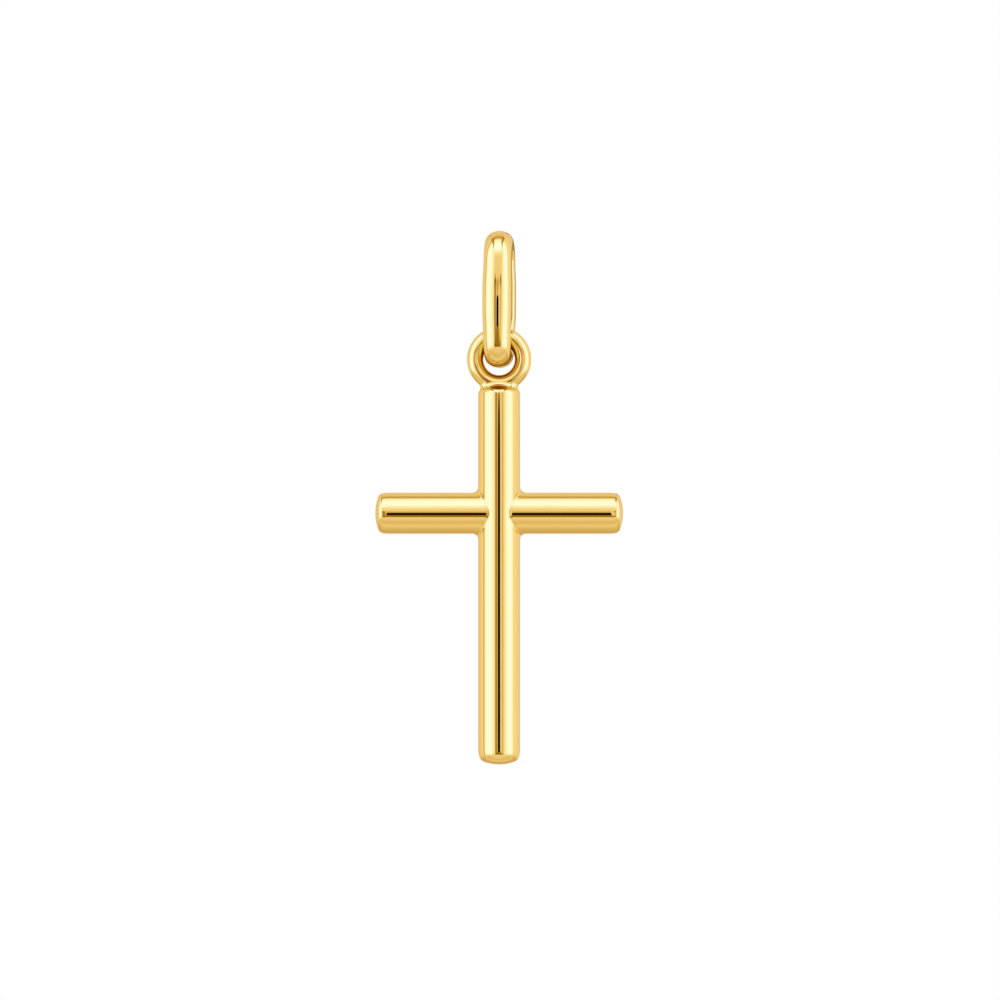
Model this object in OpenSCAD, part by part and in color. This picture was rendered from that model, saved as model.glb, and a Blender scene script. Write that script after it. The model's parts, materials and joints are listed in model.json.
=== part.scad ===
// Tube cross pendant on an oval bail. Sizes are in millimetres.
// +Z is up and the front faces -Y. The origin is the top of the bail's inside, where the
// chain or cord that carries the pendant lies.

/* [Post] */
// Diameter of the upright tube
post_d = 2.5; // [2.3:0.05:3.2]
// Length of the upright tube, with its domed foot
post_len = 22.35; // [16:0.05:30]
// Radius of the rounded rim round the foot
post_rim_r = 0.37; // [0.2:0.01:0.6]
// Spherical radius of the foot's shallow dome
post_dome_r = 3.3; // [2.5:0.1:8]
// Radius of the rounded edge at the top of the post
post_top_r = 0.3; // [0.15:0.01:0.5]

/* [Arm bar] */
// Diameter of the level tube
arm_d = 2.45; // [1.8:0.05:3]
// Length of the level tube from end to end
arm_span = 14.75; // [9:0.05:20]
// Drop from the top of the post to the axis of the level tube
arm_drop = 7.4; // [3:0.05:11]
// Distance of the level tube's axis behind the post's axis
arm_set_back = 0.12; // [0:0.01:0.3]
// Radius of the rounded rim round each end
arm_rim_r = 0.33; // [0.2:0.01:0.5]
// Spherical radius of the shallow dome on each end
arm_dome_r = 4.4; // [2.5:0.1:8]
// Radius of the fillet in the four corners of the crossing
corner_r = 0.35; // [0.15:0.01:0.6]
// Thickness of that fillet from front to back
corner_t = 0.9; // [0.4:0.05:1.4]

/* [Eye] */
// Diameter of the wire of the closed ring on top of the post
eye_wire = 0.98; // [0.7:0.01:1.3]
// Depth to which the ring is let into the top of the post
eye_sink = 0.155; // [0.05:0.005:0.3]

/* [Neck] */
// Distance from the wall of the post in to the foot of the solder flare
neck_inset = 0.12; // [0.06:0.01:0.3]
// Height of the flare
neck_h = 0.52; // [0.3:0.02:0.6]
// Radius of the flare's hollow side
neck_r = 0.75; // [0.62:0.01:0.85]

/* [Bail] */
// Height of the oval loop over its outside
bail_h = 8.15; // [6.5:0.05:12]
// Swell of its long front and back sides beyond the two tight end bends
bail_swell = 0.23; // [0.1:0.01:0.8]
// Width of the wire, seen from the front
bail_w = 1.67; // [1.2:0.01:2.2]
// Thickness of the wire, seen from the side
bail_t = 1.32; // [0.8:0.01:1.4]
// Turn of the loop about the upright axis, in degrees, front leg to the left
bail_turn = 5.2; // [0:0.1:8]

/* [Fit] */
// Gap between the bottom of the bail's inside and the ring that hangs in it
hang_gap = 0.13; // [0.1:0.01:0.2]
// Gap between the ring's wire and the bail's foot, in front of and behind the wire
bend_gap = 0.09; // [0.05:0.01:0.15]
// Gap on each side of the bail where it passes through the ring
eye_gap = 0.1; // [0.1:0.01:0.2]

/* [Hidden] */

$fn = 96;

// Straight steps in each rounded rim and dome
arc_steps = 6;
// How far a solid that is soldered on reaches into the one that carries it
overlap = 0.3;
// Share of the corner fillet that is left standing clear of its tangent points
corner_share = 0.85;
// Angle by which the bail's end bends lap over its long sides
lap_angle = 2;
// Hair's breadth by which the lapping bends are thicker all round, so that the walls cross cleanly
lap_step = 0.004;

// The bail's middle line is an oval of four arcs: two tight ends and two long sides
bail_half_h = (bail_h - bail_t) / 2;
bail_bend_r = (bail_t + eye_wire) / 2 + bend_gap;
bail_half_depth = bail_bend_r + bail_swell;
bail_end_z = bail_half_h - bail_bend_r;
bail_side_r = (bail_end_z ^ 2 + bail_half_depth ^ 2 - bail_bend_r ^ 2)
    / (2 * (bail_half_depth - bail_bend_r));
bail_side_y = bail_side_r - bail_half_depth;
bail_join_angle = atan2(bail_end_z, bail_side_y);
bail_mid_z = bail_t / 2 - bail_half_h;

// The ring's upper wire hangs in the foot of the bail, and its hole lets the bail through
hang_z = bail_mid_z - bail_half_h + bail_t / 2 + hang_gap + eye_wire / 2;
eye_r = (bail_w + eye_wire) / 2 + eye_gap;
eye_z = hang_z - eye_r;
post_top_z = eye_z - eye_r - eye_wire / 2 + eye_sink;
arm_z = post_top_z - arm_drop;

// Points of an arc about a centre, from one angle to another
function arc(centre, radius, from, to) =
    [for (i = [0 : arc_steps])
        let (angle = from + (to - from) * i / arc_steps)
            centre + radius * [cos(angle), sin(angle)]];

// Height at which the rim of a domed end runs into the straight wall of its tube
function rim_z(radius, rim, dome) = dome - sqrt((dome - rim) ^ 2 - (radius - rim) ^ 2);

// Outline of a domed end that has its tip at the origin, from the axis to the wall
function domed_end(radius, rim, dome) =
    let (join = atan2(rim_z(radius, rim, dome) - dome, radius - rim))
    concat(arc([0, dome], dome, -90, join),
        arc([radius - rim, rim_z(radius, rim, dome)], rim, join, 0));

// The upright tube: a domed foot, a straight wall and a rounded top edge
module post() {
    radius = post_d / 2;
    translate([0, 0, post_top_z - post_len])
        rotate_extrude()
            polygon(concat(
                domed_end(radius, post_rim_r, post_dome_r),
                arc([radius - post_top_r, post_len - post_top_r], post_top_r, 0, 90),
                [[0, post_len]]));
}

// The level tube, domed at both ends
module arm_bar() {
    end = domed_end(arm_d / 2, arm_rim_r, arm_dome_r);
    other_end = [for (i = [len(end) - 1 : -1 : 0]) [end[i].x, arm_span - end[i].y]];
    translate([-arm_span / 2, arm_set_back, arm_z])
        rotate([0, 90, 0])
            rotate_extrude() polygon(concat(end, other_end));
}

// The fillet that fills one corner of the crossing
module corner_fillet() {
    rotate([90, 0, 0])
        linear_extrude(height = corner_t, center = true)
            difference() {
                translate([-overlap, -overlap])
                    square(overlap + corner_share * corner_r);
                translate([corner_r, corner_r]) circle(corner_r);
            }
}

module corner_fillets() {
    for (side = [0, 1], end = [0, 1])
        translate([0, arm_set_back / 2, arm_z])
            mirror([side, 0, 0]) mirror([0, 0, end])
                translate([post_d / 2, 0, arm_d / 2]) corner_fillet();
}

// The hollow-sided solder flare between the post and the ring
module neck() {
    radius = post_d / 2 - neck_inset;
    top_angle = 180 + asin((neck_r - neck_h) / neck_r);
    translate([0, 0, post_top_z])
        rotate_extrude()
            polygon(concat(
                [[0, -overlap], [radius, -overlap]],
                arc([radius, neck_r], neck_r, 270, top_angle),
                [[0, neck_h]]));
}

// The closed ring, flat in the plane of the cross
module eye() {
    translate([0, 0, eye_z])
        rotate([90, 0, 0])
            rotate_extrude() translate([eye_r, 0]) circle(eye_wire / 2);
}

module cross() {
    color("gold") union() {
        post();
        arm_bar();
        corner_fillets();
        neck();
        eye();
    }
}

// One bend of the bail about its own centre, to both sides of its middle
module bail_bend(radius, half_sweep, thickness, width) {
    rotate([0, 0, -half_sweep])
        rotate_extrude(angle = 2 * half_sweep)
            translate([radius, 0]) scale([thickness / 2, width / 2]) circle(1);
}

// The oval loop stands front to back, so a chain passes through it from side to side
module bail() {
    color("gold")
        translate([0, 0, bail_mid_z])
            rotate([0, 0, -bail_turn])
                rotate([90, 0, 90])
                    union()
                        for (turn = [0, 180])
                            rotate([0, 0, turn]) {
                                translate([0, bail_end_z])
                                    rotate([0, 0, 90])
                                        bail_bend(bail_bend_r, 90 - bail_join_angle + lap_angle,
                                            bail_t, bail_w);
                                translate([-bail_side_y, 0])
                                    bail_bend(bail_side_r, bail_join_angle,
                                        bail_t - 2 * lap_step, bail_w - 2 * lap_step);
                            }
}

cross();
bail();
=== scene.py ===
"""Polished gold tube cross on an oval bail, hung in a plain white photo studio.

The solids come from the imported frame. The two pieces made here stand for them with the
smooth solder lines and the mirror polish of the real pendant. Shapes are worked out in
millimetres and stored in metres.
"""

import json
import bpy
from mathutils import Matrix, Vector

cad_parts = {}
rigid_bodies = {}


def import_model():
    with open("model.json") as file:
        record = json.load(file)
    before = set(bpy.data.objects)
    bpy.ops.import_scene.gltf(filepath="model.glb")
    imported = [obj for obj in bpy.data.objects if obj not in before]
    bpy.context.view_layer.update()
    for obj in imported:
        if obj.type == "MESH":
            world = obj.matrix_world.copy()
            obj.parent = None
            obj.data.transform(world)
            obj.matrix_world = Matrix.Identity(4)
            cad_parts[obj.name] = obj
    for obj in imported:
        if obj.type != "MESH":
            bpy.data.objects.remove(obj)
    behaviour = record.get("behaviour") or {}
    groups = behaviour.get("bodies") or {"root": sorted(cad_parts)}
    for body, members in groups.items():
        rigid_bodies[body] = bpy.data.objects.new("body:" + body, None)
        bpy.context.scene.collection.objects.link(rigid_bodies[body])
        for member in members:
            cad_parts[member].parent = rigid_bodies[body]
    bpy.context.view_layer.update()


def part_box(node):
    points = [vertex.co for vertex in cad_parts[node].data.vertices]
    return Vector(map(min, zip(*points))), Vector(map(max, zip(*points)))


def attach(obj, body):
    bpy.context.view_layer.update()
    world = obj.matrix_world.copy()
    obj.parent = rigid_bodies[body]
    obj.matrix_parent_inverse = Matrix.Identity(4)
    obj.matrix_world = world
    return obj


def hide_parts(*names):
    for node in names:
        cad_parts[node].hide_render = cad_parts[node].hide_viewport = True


bl_info = {
    "name": "Tube Cross Pendant",
    "version": (1, 0, 0),
    "blender": (4, 5, 0),
    "location": "3D View > Sidebar > Pendant",
    "description": "Models and finishes a gold tube cross pendant on its bail",
    "category": "Object",
}

from math import atan2, cos, pi, radians, sin, sqrt

import bpy
import numpy as np
from bpy.props import FloatProperty, FloatVectorProperty, IntProperty, PointerProperty
from mathutils import Matrix

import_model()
CROSS_LOW, CROSS_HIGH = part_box("cross")
BAIL_LOW, BAIL_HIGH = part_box("bail")
MM = 0.001

# Steps along the three arcs of a domed end: the dome, its rim and the worn wall
END_STEPS = (14, 10, 6)
# Points down the wall, over the edge and across the flat at the top of the post
TOP_POINTS = (12, 9, 17)
# Steps along and round the wire of the eye and of the bail
EYE_STEPS = (192, 64)
BAIL_STEPS = (256, 80)
# Depth in millimetres under the post's top that the neck's solder may reach
NECK_DEPTH = 1
# Millimetres within which points are merged: those left by a union, and those of one place
UNION_MERGE = 0.012
SAME_PLACE = 1e-4
# The least that anything is divided by
NOTHING = 1e-9
# Rounds in which points are laid on a form, and their longest move in millimetres in each
LAY_ROUNDS = 10
LAY_MOVE = 0.12
# The search for the ball that rolls in a corner: its rounds, its longest first move in radii,
# the most that two normals may agree, a trace that keeps the sums solvable, and how near in
# millimetres it has to touch both walls
BALL_ROUNDS = 12
FIRST_MOVE = 2.5
MOST_AGREEMENT = 0.98
TRACE = 1e-6
SETTLED = 1e-3
# Depth at which the crossing's solder begins to narrow to its radius in front, and the depth
# over which it does so, as shares of the arms' radius
FRONT_START = 0.2
FRONT_SPAN = 0.5
# Slope of the arms' flare where it meets the post
FLARE_SLOPE = 1 / 3
# Share of the way from each end of the bail's legs to their middle on which the wire widens
BARREL_SPAN = 0.7
# The bail's polish is taken from another place than the cross's, so that they aren't alike
BAIL_POLISH = (0.01, 0.004, 0.002)


# Sizes and finishes that a user may change


class PendantCrossSizes(bpy.types.PropertyGroup):
    """Sizes of the cross: its two tubes, their ends and the solder between them"""

    post_diameter: FloatProperty(
        name="Post Diameter", description="Diameter of the upright tube",
        default=0.0025, unit="LENGTH", subtype="DISTANCE")
    post_top: FloatProperty(
        name="Post Top", description="Height of the post's flat top in the frame",
        default=-0.008075, unit="LENGTH", subtype="DISTANCE")
    post_edge: FloatProperty(
        name="Top Edge", description="Radius of the rounded edge at the top of the post",
        default=0.0003, unit="LENGTH", subtype="DISTANCE")
    foot_wear: FloatProperty(
        name="Foot Wear", description="Radius of the wall's slow curve above the foot's rim",
        default=0.0016, unit="LENGTH", subtype="DISTANCE")
    foot_slope: FloatProperty(
        name="Foot Slope", description="Slope of that curve where the rim begins",
        default=radians(18), unit="ROTATION", subtype="ANGLE")
    foot_rim: FloatProperty(
        name="Foot Rim", description="Radius of the rounded rim round the foot",
        default=0.0004, unit="LENGTH", subtype="DISTANCE")
    foot_dome: FloatProperty(
        name="Foot Dome", description="Spherical radius of the foot's shallow dome",
        default=0.0026, unit="LENGTH", subtype="DISTANCE")
    arm_diameter: FloatProperty(
        name="Arm Diameter", description="Diameter of the level tube",
        default=0.00245, unit="LENGTH", subtype="DISTANCE")
    arm_height: FloatProperty(
        name="Arm Height", description="Height of the level tube's axis in the frame",
        default=-0.015475, unit="LENGTH", subtype="DISTANCE")
    arm_set_back: FloatProperty(
        name="Arm Set-back", description="Distance of the arms' axis behind the post's",
        default=0.00012, unit="LENGTH", subtype="DISTANCE")
    arm_wear: FloatProperty(
        name="Arm Wear", description="Radius of the wall's slow curve before each arm's rim",
        default=0.00205, unit="LENGTH", subtype="DISTANCE")
    arm_slope: FloatProperty(
        name="Arm Slope", description="Slope of that curve where the rim begins",
        default=radians(9.8), unit="ROTATION", subtype="ANGLE")
    arm_rim: FloatProperty(
        name="Arm Rim", description="Radius of the rounded rim round each arm's end",
        default=0.00037, unit="LENGTH", subtype="DISTANCE")
    arm_dome: FloatProperty(
        name="Arm Dome", description="Spherical radius of the dome on each arm's end",
        default=0.0029, unit="LENGTH", subtype="DISTANCE")
    crossing_corner: FloatProperty(
        name="Crossing Corner", description="Radius of the solder in the crossing's corners",
        default=0.00035, unit="LENGTH", subtype="DISTANCE")
    crossing_front: FloatProperty(
        name="Crossing Front", description="Radius of the solder on the crossing's front",
        default=0.00011, unit="LENGTH", subtype="DISTANCE")
    crossing_flare: FloatProperty(
        name="Crossing Flare", description="Distance from the post where the arms' flare ends",
        default=0.00013, unit="LENGTH", subtype="DISTANCE")
    eye_wire: FloatProperty(
        name="Eye Wire", description="Diameter of the wire of the eye",
        default=0.00098, unit="LENGTH", subtype="DISTANCE")
    eye_radius: FloatProperty(
        name="Eye Radius", description="Radius of the eye at the middle of its wire",
        default=0.001425, unit="LENGTH", subtype="DISTANCE")
    neck_front: FloatProperty(
        name="Neck Front", description="Radius of the neck's solder in front and behind",
        default=0.0005, unit="LENGTH", subtype="DISTANCE")
    neck_side: FloatProperty(
        name="Neck Side", description="Radius of the neck's solder under the eye's sides",
        default=0.0003, unit="LENGTH", subtype="DISTANCE")
    facets: IntProperty(
        name="Facets", description="Mesh steps round each tube",
        default=128, min=32, max=192)


class PendantBailSizes(bpy.types.PropertyGroup):
    """Sizes of the bail, an oval loop of half-flattened wire"""

    width: FloatProperty(
        name="Wire Width", description="Width of the wire at the bends, seen from the front",
        default=0.00164, unit="LENGTH", subtype="DISTANCE")
    barrel: FloatProperty(
        name="Barrel", description="Share by which the wire is wider midway up the legs",
        default=0.047, min=0.0, max=0.2)
    thickness: FloatProperty(
        name="Wire Thickness", description="Thickness of the wire, seen from the side",
        default=0.00132, unit="LENGTH", subtype="DISTANCE")
    swell: FloatProperty(
        name="Swell", description="Swell of the long sides beyond the end bends",
        default=0.00016, unit="LENGTH", subtype="DISTANCE")
    bend: FloatProperty(
        name="End Bend", description="Radius of the two end bends at the wire's middle",
        default=0.00124, unit="LENGTH", subtype="DISTANCE")
    shoulders: FloatProperty(
        name="Foot Shoulders", description="Metal that squares the foot's bend on its outside",
        default=0.00019, unit="LENGTH", subtype="DISTANCE")
    turn: FloatProperty(
        name="Turn", description="Turn of the loop about the upright axis",
        default=radians(5.9), unit="ROTATION", subtype="ANGLE")
    flatness: FloatProperty(
        name="Inner Flatness", description="Power of the section's inner half: 2 is an oval",
        default=7.5, min=2.0, max=12.0)
    lean: FloatProperty(
        name="Lean", description="Lean of the loop's top to the front as it hangs",
        default=radians(1.5), unit="ROTATION", subtype="ANGLE")
    tilt: FloatProperty(
        name="Tilt", description="Lean of the loop's top to the right as it hangs",
        default=radians(0.5), unit="ROTATION", subtype="ANGLE")
    pivot: FloatProperty(
        name="Pivot", description="Height in the frame of the wire that the loop leans about",
        default=-0.00493, unit="LENGTH", subtype="DISTANCE")


class PendantFinish(bpy.types.PropertyGroup):
    """Colour and polish of the gold, and the darker colours painted as shade on the gold seen in
    reflections
    """

    gold: FloatVectorProperty(
        name="Gold", description="Colour of the gold where it is seen straight on",
        default=(0.98, 0.675, 0.205), min=0.0, max=1.0, subtype="COLOR")
    # Painted shade: a darker colour for the gold that a ray meets after one bounce off the gold,
    # in place of the dimmer light between the parts
    inner: FloatVectorProperty(
        name="Painted Shade After One Bounce", description="Colour of the gold where another part reflects it",
        default=(0.8, 0.55, 0.12), min=0.0, max=1.0, subtype="COLOR")
    # Painted shade: a still darker colour for the gold that a ray meets after two or more bounces
    deepest_painted_shade: FloatVectorProperty(
        name="Painted Shade After Two Bounces", description="Colour of the gold in a reflection of a reflection",
        default=(0.5, 0.32, 0.04), min=0.0, max=1.0, subtype="COLOR")
    cloud: FloatVectorProperty(
        name="Cloud Tint", description="Tint of the gold in the deeper clouds of its tone",
        default=(0.985, 0.965, 0.92), min=0.0, max=1.0, subtype="COLOR")
    edge: FloatVectorProperty(
        name="Glancing Tint", description="Tint of the gold where it is seen at a slant",
        default=(1.0, 0.93, 0.78), min=0.0, max=1.0, subtype="COLOR")
    roughness: FloatProperty(
        name="Roughness", description="Mean roughness of the mirror polish",
        default=0.025, min=0.0, max=1.0, subtype="FACTOR")
    swell: FloatProperty(
        name="Polish Swell", description="Height of the slow swell that hand polishing leaves",
        default=0.000002, precision=6, unit="LENGTH", subtype="DISTANCE")


class PendantStudio(bpy.types.PropertyGroup):
    """Camera and lights"""

    camera_distance: FloatProperty(
        name="Camera Distance", description="Distance of the camera in front of the post",
        default=0.1548, unit="LENGTH", subtype="DISTANCE")
    camera_height: FloatProperty(
        name="Camera Height", description="Height of the camera in the frame",
        default=-0.01469, unit="LENGTH", subtype="DISTANCE")
    camera_side: FloatProperty(
        name="Camera Side", description="Distance of the camera to the right of the post",
        default=0.000054, unit="LENGTH", subtype="DISTANCE")
    lens: FloatProperty(
        name="Lens", description="Focal length, on a 36 mm sensor",
        default=93.6, unit="CAMERA", subtype="DISTANCE_CAMERA")
    floor_drop: FloatProperty(
        name="Floor Drop", description="Drop from the foot of the cross to the floor",
        default=0.03, unit="LENGTH", subtype="DISTANCE")
    brightness: FloatProperty(
        name="Softbox Brightness", description="Brightness of the softboxes",
        default=4.0, min=0.0, soft_max=10.0)
    seam: FloatProperty(
        name="Seam", description="Slant at which the side and top softboxes meet in front",
        default=radians(43), unit="ROTATION", subtype="ANGLE")
    seam_rise: FloatProperty(
        name="Seam Rise", description="Growth of that slant with the height over the front",
        default=0.32, min=0.0, max=2.0)
    seam_top: FloatProperty(
        name="Seam Top", description="Height above which that slant stays the same",
        default=radians(75), unit="ROTATION", subtype="ANGLE")
    top_shift: FloatProperty(
        name="Top Shift", description="Shift of the top softbox to the left with height",
        default=0.05, min=-1.0, max=1.0)
    gap_start: FloatProperty(
        name="Gap Start", description="Height at which the softboxes begin to part",
        default=radians(45), unit="ROTATION", subtype="ANGLE")
    gap_rise: FloatProperty(
        name="Gap Rise", description="Growth of the gap with the height beyond that",
        default=0.13, min=0.0, max=2.0)
    gap_widest: FloatProperty(
        name="Gap Widest", description="Widest half of the gap",
        default=radians(7), unit="ROTATION", subtype="ANGLE")
    gap_end: FloatProperty(
        name="Gap End", description="Height at which the gap has closed behind the softboxes",
        default=radians(112), unit="ROTATION", subtype="ANGLE")
    gap_level: FloatProperty(
        name="Gap Level", description="Light level in the gap",
        default=0.33, min=0.0, max=1.0, subtype="FACTOR")
    fade_start: FloatProperty(
        name="Fade Start", description="Slant at which the side light begins to give way",
        default=radians(40), unit="ROTATION", subtype="ANGLE")
    fade_end: FloatProperty(
        name="Fade End", description="Slant at which it has given way to the table",
        default=radians(65), unit="ROTATION", subtype="ANGLE")
    table: FloatProperty(
        name="Table", description="Angle under the level at which the table begins",
        default=radians(21), unit="ROTATION", subtype="ANGLE")
    dark_left: FloatProperty(
        name="Dark Left", description="Left edge of the dark front of the camera",
        default=radians(-7.2), unit="ROTATION", subtype="ANGLE")
    dark_right: FloatProperty(
        name="Dark Right", description="Right edge of the dark front of the camera",
        default=radians(6.2), unit="ROTATION", subtype="ANGLE")
    dark_bottom: FloatProperty(
        name="Dark Bottom", description="Lower edge of the dark front of the camera",
        default=radians(-10.8), unit="ROTATION", subtype="ANGLE")
    dark_top: FloatProperty(
        name="Dark Top", description="Upper edge of the dark front of the camera",
        default=radians(2.4), unit="ROTATION", subtype="ANGLE")
    dark_squareness: FloatProperty(
        name="Dark Squareness", description="How square its corners are, 2 for an oval",
        default=5.0, min=2.0, soft_max=12.0)


# Forms, in millimetres: each gives the distances of points from a surface, and its directions


def unit(vectors):
    """Vectors made one unit long"""
    return vectors / np.maximum(np.linalg.norm(vectors, axis=1), NOTHING)[:, None]


def eased(share):
    """A share kept from 0 to 1, and made to begin and end gently"""
    share = np.clip(share, 0, 1)
    return share * share * (3 - 2 * share)


def end_arcs(radius, wear, slope, rim, dome):
    """Centres (out, depth) of the three arcs of a domed end: the dome, the rim and the worn
    wall above it, each running smoothly into the next"""
    rim_out = radius - wear + (wear - rim) * cos(slope)
    rim_depth = dome - sqrt((dome - rim) ** 2 - rim_out ** 2)
    return (0, dome), (rim_out, rim_depth), (radius - wear, rim_depth + (wear - rim) * sin(slope))


def domed_end(depth, out, radius, wear, slope, rim, dome):
    """Distance and slope (outwards, inwards) near a domed end, from a depth under its tip"""
    (_, top), (rim_out, rim_depth), (wear_out, wear_depth) = end_arcs(
        radius, wear, slope, rim, dome)
    on_dome = out * (top - rim_depth) < rim_out * (top - depth)
    on_rim = ~on_dome & ((rim_depth - depth) * cos(slope) > (out - rim_out) * sin(slope))
    on_wall = ~on_dome & ~on_rim & (depth > wear_depth)
    where = [on_dome, on_rim, on_wall]
    centre_out = np.select(where, [0, rim_out, wear_out], wear_out)
    centre_depth = np.select(where, [top, rim_depth, depth], wear_depth)
    size = np.select(where, [dome, rim, wear], wear)
    reach = np.maximum(np.hypot(out - centre_out, depth - centre_depth), NOTHING)
    slope_out, slope_in = (out - centre_out) / reach, (depth - centre_depth) / reach
    # On the straight wall only the distance outwards counts, also inside the tube
    return (np.where(on_wall, out - radius, reach - size),
            np.where(on_wall, 1, slope_out), np.where(on_wall, 0, slope_in))


def rounded_end(depth, out, radius, edge):
    """Distance and slope near a flat end with a rounded edge"""
    centre_out = np.minimum(out, radius - edge)
    centre_depth = np.maximum(depth, edge)
    reach = np.maximum(np.hypot(out - centre_out, depth - centre_depth), NOTHING)
    return reach - edge, (out - centre_out) / reach, (depth - centre_depth) / reach


def tube(points, start, axis, length, radius, first_end, last_end):
    """A closed round tube from a start point along an axis, with an end shape at each end"""
    axis = np.array(axis, float)
    along = (points - start) @ axis
    spoke = points - start - along[:, None] * axis
    out = np.linalg.norm(spoke, axis=1)
    spoke = spoke / np.maximum(out, NOTHING)[:, None]
    first = along < length / 2
    depth = np.where(first, along, length - along)
    one = first_end[0](depth, out, radius, *first_end[1:])
    two = last_end[0](depth, out, radius, *last_end[1:])
    reach, slope_out, slope_in = (np.where(first, a, b) for a, b in zip(one, two))
    inward = np.where(first, 1.0, -1.0)[:, None] * axis
    return reach, slope_out[:, None] * spoke + slope_in[:, None] * inward


def ring(points, centre, radius, wire):
    """A ring of round wire that lies in the plane of the cross"""
    flat = points - centre
    span = np.hypot(flat[:, 0], flat[:, 2])
    spoke = np.stack([flat[:, 0], np.zeros(len(flat)), flat[:, 2]], 1)
    away = flat - spoke * (radius / np.maximum(span, NOTHING))[:, None]
    reach = np.linalg.norm(away, axis=1)
    return reach - wire / 2, away / np.maximum(reach, NOTHING)[:, None]


def soldered(points, first, second, radius):
    """Two forms with solder between them, as hollow as a ball of that radius rolled along both"""
    a, normal_a = first(points)
    b, normal_b = second(points)
    reach = np.minimum(a, b)
    normal = np.where((a < b)[:, None], normal_a, normal_b)
    near = np.flatnonzero((a < 2 * radius) & (b < 2 * radius))
    spot, size = points[near], radius[near]
    n1, n2 = normal_a[near], normal_b[near]
    # Each point's own ball is first placed as if both walls were flat
    c = np.clip((n1 * n2).sum(1), -MOST_AGREEMENT, MOST_AGREEMENT)
    u1, u2 = size - a[near], size - b[near]
    lean = ((u1 - c * u2)[:, None] * n1 + (u2 - c * u1)[:, None] * n2) / (1 - c * c)[:, None]
    far = np.maximum(np.linalg.norm(lean, axis=1) / (FIRST_MOVE * size), 1)
    ball = spot + lean / far[:, None]
    # Then it moves until it touches both, and stays level with its point along the corner
    for _ in range(BALL_ROUNDS):
        da, n1 = first(ball)
        db, n2 = second(ball)
        along = unit(np.cross(n1, n2))
        rows = np.stack([n1, n2, along], 1) + TRACE * np.eye(3)
        goal = np.stack([size - da, size - db, (along * (spot - ball)).sum(1)], 1)
        step = np.linalg.solve(rows, goal[:, :, None])[:, :, 0]
        ball = ball + step / np.maximum(np.linalg.norm(step, axis=1) / size, 1)[:, None]
    settled = (np.abs(da - size) < SETTLED) & (np.abs(db - size) < SETTLED)
    # The solder lies between the two places where the ball touches
    towards = ball - spot
    c = (n1 * n2).sum(1)
    m1, m2 = (towards * n1).sum(1), (towards * n2).sum(1)
    inside = settled & (m1 > c * m2) & (m2 > c * m1)
    gap = np.linalg.norm(towards, axis=1)
    reach[near[inside]] = (size - gap)[inside]
    normal[near[inside]] = unit(towards)[inside]
    return reach, normal


# Modelling steps


def start_afresh():
    """Nothing is selected or active, and no object is in edit mode"""
    if bpy.context.object and bpy.context.object.mode != "OBJECT":
        bpy.ops.object.mode_set(mode="OBJECT")
    for thing in bpy.context.view_layer.objects:
        thing.select_set(False)
    bpy.context.view_layer.objects.active = None


def pick(thing):
    """One object is selected and active, and no other"""
    start_afresh()
    thing.select_set(True)
    bpy.context.view_layer.objects.active = thing


def edit_all(thing):
    """Opens a mesh for editing, with all of it selected"""
    pick(thing)
    bpy.ops.object.mode_set(mode="EDIT")
    bpy.ops.mesh.select_all(action="SELECT")


def close_outwards():
    """Turns all faces outwards and ends the editing"""
    bpy.ops.mesh.normals_make_consistent(inside=False)
    bpy.ops.object.mode_set(mode="OBJECT")


def turned(name, outline, start, axis, facets):
    """Draws an outline of (along, out) points beside an axis and spins it into a solid"""
    start_afresh()
    bpy.ops.mesh.primitive_circle_add(vertices=len(outline), radius=1)
    thing = bpy.context.object
    thing.name = thing.data.name = name
    across = (0, 1, 0)
    for vertex, (along, out) in zip(thing.data.vertices, outline):
        vertex.co = [s + along * a + out * b for s, a, b in zip(start, axis, across)]
    # The circle's closing edge would run down the axis, so it goes
    bpy.ops.object.mode_set(mode="EDIT")
    bpy.ops.mesh.select_all(action="DESELECT")
    bpy.ops.object.mode_set(mode="OBJECT")
    ends = {0, len(outline) - 1}
    for edge in thing.data.edges:
        edge.select = set(edge.vertices) == ends
    bpy.ops.object.mode_set(mode="EDIT")
    bpy.ops.mesh.select_mode(type="EDGE")
    bpy.ops.mesh.delete(type="EDGE")
    bpy.ops.mesh.select_all(action="SELECT")
    bpy.ops.mesh.spin(steps=facets, angle=2 * pi, center=start, axis=axis)
    bpy.ops.mesh.select_all(action="SELECT")
    bpy.ops.mesh.remove_doubles(threshold=SAME_PLACE)
    close_outwards()
    return thing


def dome_outline(radius, wear, slope, rim, dome):
    """Outline of a domed end from its tip to the straight wall, as (along, out) points"""
    (_, top), (rim_out, rim_depth), (wear_out, wear_depth) = end_arcs(
        radius, wear, slope, rim, dome)
    join = atan2(rim_out, top - rim_depth)
    arcs = [(0, top, dome, 0, join), (rim_out, rim_depth, rim, join, pi / 2 - slope),
            (wear_out, wear_depth, wear, pi / 2 - slope, pi / 2)]
    outline = [(0, 0)]
    for (out, depth, size, first, last), count in zip(arcs, END_STEPS):
        for step in range(1, count + 1):
            angle = first + (last - first) * step / count
            outline.append((depth - size * cos(angle), out + size * sin(angle)))
    return outline


def wall_stations(start, end, dense_start, dense_end, step):
    """Places along a straight wall, close together where it meets another tube"""
    count = round((dense_end - dense_start) / step)
    return [(start + dense_start) / 2] + [
        dense_start + (dense_end - dense_start) * i / count for i in range(count + 1)
    ] + [(dense_end + end) / 2]


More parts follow.
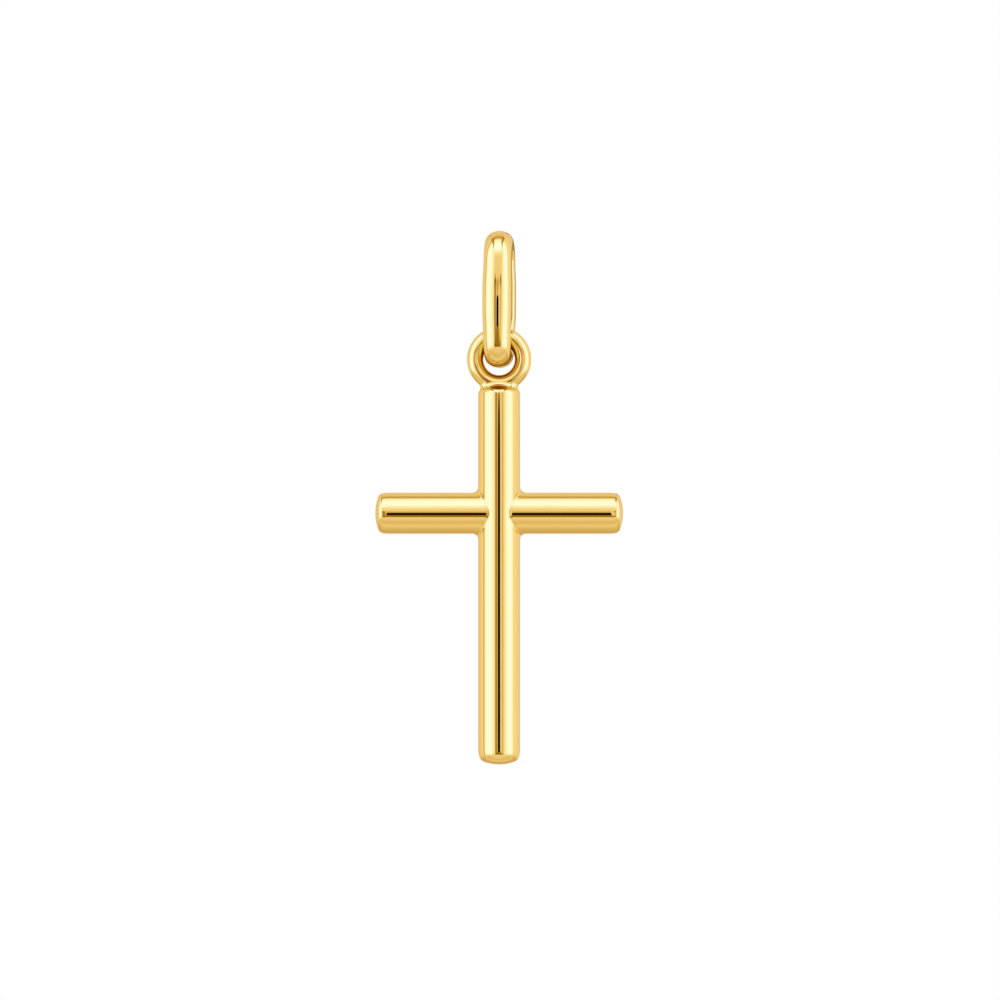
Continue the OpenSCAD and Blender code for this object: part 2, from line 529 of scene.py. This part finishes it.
def fuse(main, other):
    """Joins another solid to the main one, and removes it"""
    pick(main)
    bpy.ops.object.modifier_add(type="BOOLEAN")
    union = main.modifiers[-1]
    union.operation, union.solver, union.object = "UNION", "EXACT", other
    bpy.ops.object.modifier_apply(modifier=union.name)
    old = other.data
    bpy.data.objects.remove(other)
    bpy.data.meshes.remove(old)
    # A union leaves the mesh in any order, so it is put in the same one each time
    points = [tuple(vertex.co) for vertex in main.data.vertices]
    order = sorted(range(len(points)), key=points.__getitem__)
    place = {was: now for now, was in enumerate(order)}
    faces = []
    for face in main.data.polygons:
        corners = [place[corner] for corner in face.vertices]
        first = corners.index(min(corners))
        faces.append(corners[first:] + corners[:first])
    main.data.clear_geometry()
    main.data.from_pydata([points[was] for was in order], [], sorted(faces))


def lay_on(points, form):
    """Moves points on to the surface of a form"""
    for _ in range(LAY_ROUNDS):
        reach, normal = form(points)
        points = points - np.clip(reach, -LAY_MOVE, LAY_MOVE)[:, None] * normal
    return points


def read_points(mesh):
    """The points of a mesh, one to a row"""
    points = np.empty(len(mesh.vertices) * 3)
    mesh.vertices.foreach_get("co", points)
    return points.reshape(-1, 3)


def write_points(mesh, points, normals):
    """Stores points given in millimetres, with the exact normals of the polished surface"""
    mesh.vertices.foreach_set("co", (points * MM).ravel())
    mesh.polygons.foreach_set("use_smooth", np.ones(len(mesh.polygons), bool))
    mesh.update()
    mesh.normals_split_custom_set_from_vertices(unit(normals).tolist())
    mesh.update()


# Finishes


def node(tree, kind, place, inputs=None, **settings):
    """Adds a node with its settings, and feeds its inputs with sockets or values"""
    made = tree.nodes.new(kind)
    made.location = place
    for key, value in settings.items():
        setattr(made, key, value)
    for key, source in (inputs or {}).items():
        if isinstance(source, bpy.types.NodeSocket):
            tree.links.new(source, made.inputs[key])
        elif source is not None:
            made.inputs[key].default_value = source
    return made


def mixed(tree, kind, share, first, second, place):
    """A mix of two colours or numbers by a share, each of them a socket or a value"""
    return node(tree, "ShaderNodeMix", place, {"Factor": share, "A": first, "B": second},
                data_type=kind).outputs["Result"]


def maths(tree, operation, first, second, place):
    """One sum on two sockets or numbers"""
    return node(tree, "ShaderNodeMath", place, {0: first, 1: second},
                operation=operation).outputs["Value"]


def polish_group():
    """Hand polish: a slow swell of the surface, faint wheel marks and clouds in the tone"""
    group = bpy.data.node_groups.new("Hand Polish", "ShaderNodeTree")
    for name, kind, way in (
            ("Place", "Vector", "INPUT"), ("Gold", "Color", "INPUT"),
            ("Deep Gold", "Color", "INPUT"), ("Sheen", "Float", "INPUT"),
            ("Color", "Color", "OUTPUT"), ("Roughness", "Float", "OUTPUT"),
            ("Height", "Float", "OUTPUT")):
        group.interface.new_socket(name=name, in_out=way, socket_type="NodeSocket" + kind)
    inlet = node(group, "NodeGroupInput", (-900, 0)).outputs
    swell, wheel, tone = (
        node(group, "ShaderNodeTexNoise", (-600, row), {
            "Vector": inlet["Place"], "Scale": scale, "Detail": detail}).outputs["Fac"]
        for row, scale, detail in ((200, 420, 1), (-100, 2600, 3), (-400, 900, 2)))
    sheen = node(group, "ShaderNodeMapRange", (-200, -100), {
        "Value": wheel, "From Min": 0.3, "From Max": 0.7, "To Min": 0.7, "To Max": 1.3})
    spread = maths(group, "MULTIPLY", sheen.outputs["Result"], inlet["Sheen"], (100, -100))
    node(group, "NodeGroupOutput", (500, 0), {
        "Color": mixed(group, "RGBA", tone, inlet["Gold"], inlet["Deep Gold"], (-200, -400)),
        "Roughness": spread, "Height": swell})
    return group


def gold_material(name, finish, place_shift):
    """Mirror-polished yellow gold, with painted shade on the gold that its reflections show"""
    material = bpy.data.materials.new(name)
    material.use_nodes = True
    tree = material.node_tree
    tree.nodes.clear()
    place = node(tree, "ShaderNodeTexCoord", (-700, 0)).outputs["Object"]
    shift = node(tree, "ShaderNodeMapping", (-500, 0), {"Vector": place, "Location": place_shift})
    deep = [gold * cloud for gold, cloud in zip(finish.gold, finish.cloud)]
    polish = node(tree, "ShaderNodeGroup", (-250, 0), {
        "Place": shift.outputs["Vector"], "Gold": (*finish.gold, 1), "Deep Gold": (*deep, 1),
        "Sheen": finish.roughness},
        node_tree=bpy.data.node_groups.get("Hand Polish") or polish_group()).outputs
    bump = node(tree, "ShaderNodeBump", (50, -200), {
        "Strength": 1, "Distance": finish.swell, "Height": polish["Height"]})
    # Painted shade: the gold that a ray meets after one bounce off the gold gets a darker colour,
    # and after two or more bounces a darker one still, in place of the dimmer light between the
    # parts
    rays = node(tree, "ShaderNodeLightPath", (-450, 300)).outputs
    deeper_shade_mask = maths(tree, "GREATER_THAN", rays["Glossy Depth"], 1.5, (-250, 300))
    painted_shade_in_reflection = mixed(tree, "RGBA", deeper_shade_mask, (*finish.inner, 1), (*finish.deepest_painted_shade, 1), (-50, 300))
    colour = mixed(tree, "RGBA", rays["Is Glossy Ray"], polish["Color"], painted_shade_in_reflection, (150, 100))
    surface = node(tree, "ShaderNodeBsdfPrincipled", (300, 0), {
        "Base Color": colour, "Metallic": 1, "Roughness": polish["Roughness"],
        "Specular Tint": (*finish.edge, 1), "Normal": bump.outputs["Normal"]})
    node(tree, "ShaderNodeOutputMaterial", (600, 0), {"Surface": surface.outputs["BSDF"]})
    return material


def finish_piece(thing, name, node_name, body, material):
    """Names a piece, gives it its gold, and ties it to its place in the frame"""
    thing.name = thing.data.name = name
    thing.data.materials.clear()
    thing.data.materials.append(material)
    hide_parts(node_name)
    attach(thing, body)
    start_afresh()


# Operators


class PENDANT_OT_cross(bpy.types.Operator):
    """Model the cross: post, arm bar and eye, soldered into one piece"""

    bl_idname = "pendant.cross"
    bl_label = "Make Cross"

    def execute(self, context):
        sizes = context.scene.pendant_cross
        facets = sizes.facets
        top, edge = sizes.post_top / MM, sizes.post_edge / MM
        radius = sizes.post_diameter / 2 / MM
        foot = CROSS_LOW.z / MM
        length = top - foot
        foot_end = (sizes.foot_wear / MM, sizes.foot_slope, sizes.foot_rim / MM,
                    sizes.foot_dome / MM)
        arm_radius, arm_z = sizes.arm_diameter / 2 / MM, sizes.arm_height / MM
        back = sizes.arm_set_back / MM
        half = (CROSS_HIGH.x - CROSS_LOW.x) / 2 / MM
        arm_end = (sizes.arm_wear / MM, sizes.arm_slope, sizes.arm_rim / MM,
                   sizes.arm_dome / MM)
        wire, eye_radius = sizes.eye_wire / MM, sizes.eye_radius / MM
        eye_centre = np.array([0, 0, CROSS_HIGH.z / MM - wire / 2 - eye_radius])
        corner, front = sizes.crossing_corner / MM, sizes.crossing_front / MM
        flare = sizes.crossing_flare / MM
        neck_front, neck_side = sizes.neck_front / MM, sizes.neck_side / MM
        step = 2 * pi * radius / facets

        # Each tube's points lie closer together where the other and its solder are
        reach = arm_radius + 2 * corner
        middle = arm_z - foot
        outline = dome_outline(radius, *foot_end)
        outline += [(at, radius) for at in wall_stations(
            outline[-1][0], length - NECK_DEPTH, middle - reach, middle + reach, step)]
        on_wall, on_edge, on_flat = TOP_POINTS
        outline += [(at, radius)
                    for at in np.linspace(length - NECK_DEPTH, length - edge, on_wall)]
        outline += [(length - edge + edge * sin(a), radius - edge + edge * cos(a))
                    for a in np.linspace(0, pi / 2, on_edge)[1:]]
        outline += [(length, out) for out in np.linspace(radius - edge, 0, on_flat)[1:]]
        post = turned("cross", outline, (0, 0, foot), (0, 0, 1), facets)

        end = dome_outline(arm_radius, *arm_end)
        reach = radius + 2 * corner
        outline = end + [(at, arm_radius) for at in wall_stations(
            end[-1][0], 2 * half - end[-1][0], half - reach, half + reach, step)]
        outline += [(2 * half - at, out) for at, out in reversed(end)]
        bar = turned("arm bar", outline, (-half, back, arm_z), (1, 0, 0), facets)

        start_afresh()
        bpy.ops.mesh.primitive_torus_add(
            location=tuple(eye_centre), rotation=(pi / 2, 0, 0),
            major_segments=EYE_STEPS[0], minor_segments=EYE_STEPS[1],
            major_radius=eye_radius, minor_radius=wire / 2)
        eye = bpy.context.object
        bpy.ops.object.transform_apply(location=True, rotation=True, scale=True)

        fuse(post, bar)
        fuse(post, eye)
        edit_all(post)
        bpy.ops.mesh.remove_doubles(threshold=UNION_MERGE)
        bpy.ops.mesh.dissolve_degenerate(threshold=SAME_PLACE)
        bpy.ops.mesh.quads_convert_to_tris(quad_method="BEAUTY", ngon_method="BEAUTY")
        close_outwards()

        def post_form(points):
            return tube(points, (0, 0, foot), (0, 0, 1), length, radius,
                        (domed_end, *foot_end), (rounded_end, edge))

        def bar_form(points):
            reach, normal = tube(points, (-half, back, arm_z), (1, 0, 0), 2 * half, arm_radius,
                                 (domed_end, *arm_end), (domed_end, *arm_end))
            # Next to the post the wall rises a little to the solder
            away, post_normal = post_form(points)
            rise = np.clip(flare - away, 0, flare)
            slope = FLARE_SLOPE * rise / flare
            return reach - slope * rise / 2, unit(normal + slope[:, None] * post_normal)

        def eye_form(points):
            return ring(points, eye_centre, eye_radius, wire)

        def crossing(points):
            depth = np.abs(points[:, 1] - back) / arm_radius
            share = eased((depth - FRONT_START) / FRONT_SPAN)
            return soldered(points, post_form, bar_form, corner + (front - corner) * share)

        def neck(points):
            span = np.maximum(np.hypot(points[:, 0], points[:, 1]), NOTHING)
            facing = (np.abs(points[:, 1]) / span) ** 2
            return soldered(points, eye_form, post_form,
                            neck_side + (neck_front - neck_side) * facing)

        points = read_points(post.data)
        normals = np.zeros_like(points)
        upper = points[:, 2] > top - NECK_DEPTH
        for chosen, form in ((upper, neck), (~upper, crossing)):
            points[chosen] = lay_on(points[chosen], form)
            normals[chosen] = form(points[chosen])[1]
        write_points(post.data, points, normals)
        material = gold_material("Polished Gold", context.scene.pendant_finish, (0, 0, 0))
        finish_piece(post, "cross_polished", "cross", "cross", material)
        return {"FINISHED"}


class PENDANT_OT_bail(bpy.types.Operator):
    """Model the bail: an oval loop of half-flattened wire"""

    bl_idname = "pendant.bail"
    bl_label = "Make Bail"

    def execute(self, context):
        sizes = context.scene.pendant_bail
        wide, thick = sizes.width / 2 / MM, sizes.thickness / 2 / MM
        bend = sizes.bend / MM
        depth = bend + sizes.swell / MM
        half = (BAIL_HIGH.z - BAIL_LOW.z) / 2 / MM - thick
        middle = (BAIL_HIGH.z + BAIL_LOW.z) / 2 / MM
        end_z = half - bend
        side = (end_z ** 2 + depth ** 2 - bend ** 2) / (2 * (depth - bend))
        join = atan2(end_z, side - depth)

        # It starts as a plain torus, whose points give angles round its middle and its wire
        torus = 3
        start_afresh()
        bpy.ops.mesh.primitive_torus_add(
            major_segments=BAIL_STEPS[0], minor_segments=BAIL_STEPS[1],
            major_radius=torus, minor_radius=1)
        loop = bpy.context.object
        points = read_points(loop.data)
        along = np.arctan2(points[:, 1], points[:, 0]) % (2 * pi)
        around = np.arctan2(points[:, 2], np.hypot(points[:, 0], points[:, 1]) - torus)

        # The middle line is an oval of four arcs, walked at an even pace from one side
        side_length = 2 * join * side
        half_way = side_length + (pi - 2 * join) * bend
        walk = along / (2 * pi) * 2 * half_way + side_length / 2
        flipped = np.where(walk % (2 * half_way) >= half_way, -1.0, 1.0)
        walk = walk % half_way
        on_side = walk < side_length
        heading = np.where(on_side, walk / side - join, join + (walk - side_length) / bend)
        reach = np.where(on_side, side, bend)
        centre_y = np.where(on_side, depth - side, 0) * flipped
        centre_z = np.where(on_side, 0, end_z) * flipped
        out_y, out_z = np.cos(heading) * flipped, np.sin(heading) * flipped
        # The wire is oval outside and flatter inside, but for the foot, which carries the eye
        legs = eased((centre_z + reach * out_z + end_z) / bend)
        aside, outside = np.sin(around), np.cos(around)
        power = 2 + np.where(outside < 0, sizes.flatness - 2, 0) * legs
        norm = (np.abs(aside) ** power + np.abs(outside) ** power) ** (1 / power)
        # Metal on both shoulders of the foot's bend makes it squarer on its outside
        turning = pi / (pi - 2 * join)
        bent = np.where(on_side, 0, heading - join) * turning
        metal = np.where((flipped < 0) & (outside > 0), sizes.shoulders / MM, 0)
        thick = thick + metal * np.sin(2 * bent) ** 2
        growth = 2 * metal * np.sin(4 * bent) * turning
        wire = reach + thick * outside / norm
        points = np.stack([wide * aside / norm, centre_y + wire * out_y,
                           centre_z + wire * out_z + middle], 1)
        lean_aside = np.sign(aside) * np.abs(aside) ** (power - 1) / wide
        lean_out = np.sign(outside) * np.abs(outside) ** (power - 1) / thick
        # Where the wire grows thicker along its way, its surface leans back against that way
        lean_along = -growth * outside ** 2 / (thick * wire)
        normals = np.stack([lean_aside, lean_out * out_y - lean_along * out_z,
                            lean_out * out_z + lean_along * out_y], 1)
        # Midway up the legs the wire is a little wider, and its sides lean to match
        level, span = points[:, 2] - middle, BARREL_SPAN * end_z
        share = np.clip((end_z - np.abs(level)) / span, 0, 1)
        wider = 1 + sizes.barrel * eased(share)
        rate = -np.sign(level) * sizes.barrel * 6 * share * (1 - share) / span
        normals[:, 0] /= wider
        normals[:, 2] -= points[:, 0] * rate * normals[:, 0]
        points[:, 0] *= wider
        hang = np.array(Matrix.Rotation(sizes.tilt, 3, "Y")
                        @ Matrix.Rotation(-sizes.turn, 3, "Z")
                        @ Matrix.Rotation(sizes.lean, 3, "X"))
        pivot = np.array([0, 0, sizes.pivot / MM])
        points, normals = (points - pivot) @ hang.T + pivot, normals @ hang.T
        # Turning the faces can upset the stored normals, so they are written once more
        write_points(loop.data, points, normals)
        edit_all(loop)
        close_outwards()
        write_points(loop.data, points, normals)
        material = gold_material(
            "Polished Bail Gold", context.scene.pendant_finish, BAIL_POLISH)
        finish_piece(loop, "bail_polished", "bail", "bail", material)
        return {"FINISHED"}


# The studio light

# Its colour by its level
LIGHT_SCALE = [
    (0.00, (0.004, 0.002, 0.0006)), (0.20, (0.34, 0.235, 0.03)), (0.30, (0.39, 0.3, 0.105)),
    (0.45, (0.64, 0.54, 0.38)), (0.55, (0.77, 0.72, 0.6)), (0.65, (0.86, 0.85, 0.85)),
    (0.72, (0.91, 0.91, 0.95)), (0.80, (0.98, 1.05, 1.26)), (0.86, (1.0, 1.18, 1.7)),
    (0.91, (1.01, 1.31, 2.24)), (0.95, (1.02, 1.41, 2.75)), (1.00, (1.02, 1.48, 3.35)),
]

# Light levels by angle in degrees, from the left of the camera round to its right
SIDE_LEVELS = [
    (-180, 0.5), (-124, 0.65), (-104, 0.76), (-98, 0.71), (-94, 0.43), (-90.5, 0.42),
    (-87, 0.81), (-80, 0.96), (-54, 1), (-42, 0.955), (-31, 0.87), (-23, 0.8),
    (-20.5, 0.32), (-12, 0.3), (-10, 0.5), (-7, 0.6), (8, 0.7), (13, 0.68), (18, 0.45),
    (24, 0.65), (29, 0.8), (41, 0.94), (65, 1), (78, 0.93), (84, 0.85), (87, 0.7),
    (93, 0.8), (120, 0.72), (162, 0.6), (166, 0.3), (171, 0.3), (175, 0.5),
]

# Light levels by angle in degrees, from under the camera up over it
UP_LEVELS = [
    (-180, 0.47), (-125, 0.46), (-88, 0.56), (-80, 0.67), (-73, 0.64), (-54, 0.53),
    (-42, 0.6), (-30, 0.68), (-22, 0.7), (-21, 0.15), (-18, 0.2), (-9, 0.21), (0, 0.46),
    (5, 0.45), (9, 0.43), (10.5, 0.7), (21, 0.72), (26, 0.79), (38, 0.91), (49, 0.985),
    (62, 1), (75, 0.955), (83, 0.91), (88, 0.83), (92, 0.65), (97, 0.4), (102, 0.41),
    (109, 0.5), (117, 0.62), (140, 0.62), (180, 0.55),
]

# Over the card that the camera looks through the light has at least this level, out to these
# angles at the sides and down to these, in each pair from none of it to all of it
OVER_CARD = 0.74
OVER_CARD_SIDES = (radians(32), radians(25))
OVER_CARD_LOW = (radians(8.5), radians(10.5))
# The dark corners of that card: the card's middle, their distance from it and their softness,
# first sideways and then upwards
CARD_CORNERS = ((radians(0.5), radians(17.5), radians(5.5)),
                (radians(-5), radians(14.5), radians(4.5)))
# Half of the soft edge between the side and top softboxes
SEAM_EDGE = radians(2)
# Reach of the table's soft edge over and under its line, in parts of the sky's height
TABLE_EDGE = (0.09, 0.11)
# Soft edge of the gap, as shares of its half width, and the least that this may be
GAP_EDGE = (0.6, 1.4)
LEAST_GAP = 1e-4
# Soft edge of the camera's dark front, in the sum of powers that is 1 on its outline
DARK_EDGE = (0.75, 1.25)
# Side of the square floor in metres
FLOOR_SIZE = 3
# Distance between the nodes of a row
NODE_STEP = 200


def ramp(tree, value, table, place):
    """A ramp whose stops are pairs of a position and a colour"""
    made = node(tree, "ShaderNodeValToRGB", place, {"Fac": value})
    stops = made.color_ramp.elements
    while len(stops) > 1:
        stops.remove(stops[-1])
    for index, (at, tone) in enumerate(table):
        stop = stops[0] if index == 0 else stops.new(at)
        stop.position = at
        stop.color = (*tone, 1)
    return made.outputs["Color"]


def levels(tree, angle, table, place):
    """Light levels by an angle"""
    share = between(tree, angle, -pi, pi, (place[0] - NODE_STEP, place[1]), "LINEAR")
    stops = [((degrees + 180) / 360, (level,) * 3) for degrees, level in table]
    return ramp(tree, share, stops, place)


def between(tree, value, low, high, place, kind="SMOOTHSTEP"):
    """How far a value is on its way from low to high, from 0 to 1"""
    return node(tree, "ShaderNodeMapRange", place, {
        "Value": value, "From Min": low, "From Max": high},
        interpolation_type=kind).outputs["Result"]


def maths_row(tree, value, place, *steps):
    """Sums in a row on one value, each an operation and what else goes into it"""
    for index, (operation, other) in enumerate(steps):
        value = maths(tree, operation, value, other, (place[0] + NODE_STEP * index, place[1]))
    return value


def softboxes(tree, studio, x, z, sideways, upwards):
    """Light level of the softboxes, the gap between them and the table"""
    side = levels(tree, sideways, SIDE_LEVELS, (-700, 300))
    up = levels(tree, upwards, UP_LEVELS, (-700, 0))
    near = maths(tree, "ABSOLUTE", sideways, None, (-900, 500))
    near = between(tree, near, *OVER_CARD_SIDES, (-700, 500))
    over_card = between(tree, upwards, *OVER_CARD_LOW, (-700, 650))
    side = maths_row(tree, near, (-500, 500), ("MULTIPLY", over_card),
                     ("MULTIPLY", OVER_CARD), ("MAXIMUM", side))

    # The softboxes at the sides meet the one overhead in front, part from it higher up,
    # and fade softly into the table below
    wide = maths_row(tree, z, (-2000, -400), ("MAXIMUM", 0), ("MULTIPLY", studio.top_shift),
                     ("ADD", x), ("ABSOLUTE", None))
    slant = maths(tree, "ARCTAN2", z, wide, (-1200, -400))
    height = maths(tree, "MAXIMUM", upwards, 0, (-1000, -250))
    seam = maths_row(tree, height, (-800, -250), ("MINIMUM", studio.seam_top),
                     ("MULTIPLY", studio.seam_rise), ("ADD", studio.seam))
    off = maths(tree, "SUBTRACT", slant, seam, (-200, -250))
    above = between(tree, off, -SEAM_EDGE, SEAM_EDGE, (0, -250))
    below = between(tree, slant, -studio.fade_start, -studio.fade_end, (-900, -500))
    drop = sin(studio.table)
    table = between(tree, z, TABLE_EDGE[0] - drop, -TABLE_EDGE[1] - drop, (-700, -500))
    below = maths(tree, "MAXIMUM", below, table, (-500, -500))
    over = maths(tree, "MAXIMUM", above, below, (200, -250))
    both = mixed(tree, "FLOAT", over, side, up, (400, 0))

    close = maths(tree, "SUBTRACT", studio.gap_end, height, (-1000, -850))
    gap = maths_row(tree, height, (-1200, -700), ("SUBTRACT", studio.gap_start),
                    ("MULTIPLY", studio.gap_rise), ("MINIMUM", studio.gap_widest),
                    ("MINIMUM", close), ("MAXIMUM", LEAST_GAP))
    apart = maths_row(tree, off, (-200, -600), ("ABSOLUTE", None), ("DIVIDE", gap))
    clear = between(tree, apart, *GAP_EDGE, (200, -600))
    return mixed(tree, "FLOAT", clear, studio.gap_level, both, (600, 0))


def card_and_camera(tree, studio, sideways, upwards):
    """Share of the light that the camera's dark front and the card's corners leave"""
    oblong = [maths_row(tree, angle, (-1000, row), ("SUBTRACT", (low + high) / 2),
                        ("DIVIDE", (high - low) / 2), ("ABSOLUTE", None),
                        ("POWER", studio.dark_squareness))
              for angle, low, high, row in (
                  (sideways, studio.dark_left, studio.dark_right, -900),
                  (upwards, studio.dark_bottom, studio.dark_top, -1100))]
    edge = maths(tree, "ADD", *oblong, (-200, -900))
    light = between(tree, edge, *DARK_EDGE, (0, -900))
    corner = 1
    for angle, (middle, reach, width), row in zip(
            (sideways, upwards), CARD_CORNERS, (-1300, -1500)):
        off = maths_row(tree, angle, (-1000, row), ("SUBTRACT", middle), ("ABSOLUTE", None),
                        ("SUBTRACT", reach), ("ABSOLUTE", None))
        near = between(tree, off, width, 0, (-200, row))
        corner = maths(tree, "MULTIPLY", near, corner, (0, row))
    open_card = maths(tree, "SUBTRACT", 1, corner, (200, -1300))
    return maths(tree, "MULTIPLY", light, open_card, (400, -900))


def studio_light(studio):
    """The room as the gold reflects it, while the camera itself sees plain white"""
    world = bpy.data.worlds.new("Studio Light")
    world.use_nodes = True
    tree = world.node_tree
    tree.nodes.clear()
    way = node(tree, "ShaderNodeTexCoord", (-1800, 0)).outputs["Generated"]
    x, y, z = node(tree, "ShaderNodeSeparateXYZ", (-1600, 0), {"Vector": way}).outputs
    ahead = maths(tree, "MULTIPLY", y, -1, (-1400, 0))
    sideways = maths(tree, "ARCTAN2", x, ahead, (-1200, 200))
    upwards = maths(tree, "ARCTAN2", z, ahead, (-1200, -100))
    level = softboxes(tree, studio, x, z, sideways, upwards)
    light = card_and_camera(tree, studio, sideways, upwards)
    level = maths(tree, "MULTIPLY", level, light, (800, 0))
    most = studio.brightness
    stops = [(at, [part / most for part in tone]) for at, tone in LIGHT_SCALE]
    colour = ramp(tree, level, stops, (1000, 0))
    room = node(tree, "ShaderNodeBackground", (1300, 0), {"Color": colour, "Strength": most})
    white = node(tree, "ShaderNodeBackground", (1300, -200), {"Color": (1, 1, 1, 1)})
    rays = node(tree, "ShaderNodeLightPath", (1300, 400))
    choose = node(tree, "ShaderNodeMixShader", (1500, 0), {
        0: rays.outputs["Is Camera Ray"], 1: room.outputs["Background"],
        2: white.outputs["Background"]})
    node(tree, "ShaderNodeOutputWorld", (1700, 0), {"Surface": choose.outputs["Shader"]})
    return world


class PENDANT_OT_studio(bpy.types.Operator):
    """Set up the white floor, the studio light and the camera"""

    bl_idname = "pendant.studio"
    bl_label = "Make Studio"

    def execute(self, context):
        studio = context.scene.pendant_studio
        scene = context.scene
        scene.view_settings.view_transform = "Standard"
        scene.view_settings.look = "None"

        start_afresh()
        bpy.ops.mesh.primitive_plane_add(
            size=FLOOR_SIZE, location=(0, 0, CROSS_LOW.z - studio.floor_drop))
        floor = context.object
        floor.name = "studio_floor"
        paint = bpy.data.materials.new("White Floor")
        paint.use_nodes = True
        surface = paint.node_tree.nodes["Principled BSDF"]
        # It shines by itself, so that it is as white as the room behind it
        for name, value in (
                ("Base Color", (0, 0, 0, 1)), ("Specular IOR Level", 0), ("Roughness", 1),
                ("Emission Color", (1, 1, 1, 1)), ("Emission Strength", 1)):
            surface.inputs[name].default_value = value
        floor.data.materials.append(paint)
        floor.visible_glossy = False
        floor.visible_diffuse = False

        scene.world = studio_light(studio)

        bpy.ops.object.camera_add(
            location=(studio.camera_side, -studio.camera_distance, studio.camera_height),
            rotation=(pi / 2, 0, 0))
        camera = context.object
        camera.data.lens = studio.lens
        camera.data.sensor_width = 36
        camera.data.clip_start = 0.01
        camera.data.clip_end = 10
        scene.camera = camera
        start_afresh()
        return {"FINISHED"}


class PENDANT_PT_panel(bpy.types.Panel):
    """A button for the studio and one for each piece"""

    bl_label = "Cross Pendant"
    bl_idname = "PENDANT_PT_panel"
    bl_space_type = "VIEW_3D"
    bl_region_type = "UI"
    bl_category = "Pendant"

    def draw(self, context):
        for kind in OPERATORS:
            self.layout.operator(kind.bl_idname)


GROUPS = {
    "pendant_cross": PendantCrossSizes,
    "pendant_bail": PendantBailSizes,
    "pendant_finish": PendantFinish,
    "pendant_studio": PendantStudio,
}
OPERATORS = (PENDANT_OT_studio, PENDANT_OT_cross, PENDANT_OT_bail)


def register():
    for name, kind in GROUPS.items():
        bpy.utils.register_class(kind)
        setattr(bpy.types.Scene, name, PointerProperty(type=kind))
    for kind in (*OPERATORS, PENDANT_PT_panel):
        bpy.utils.register_class(kind)


def unregister():
    for kind in (PENDANT_PT_panel, *reversed(OPERATORS)):
        bpy.utils.unregister_class(kind)
    for name, kind in reversed(GROUPS.items()):
        delattr(bpy.types.Scene, name)
        bpy.utils.unregister_class(kind)


def main():
    register()
    bpy.ops.pendant.studio()
    bpy.ops.pendant.cross()
    bpy.ops.pendant.bail()
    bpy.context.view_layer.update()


if __name__ == "__main__":
    main()
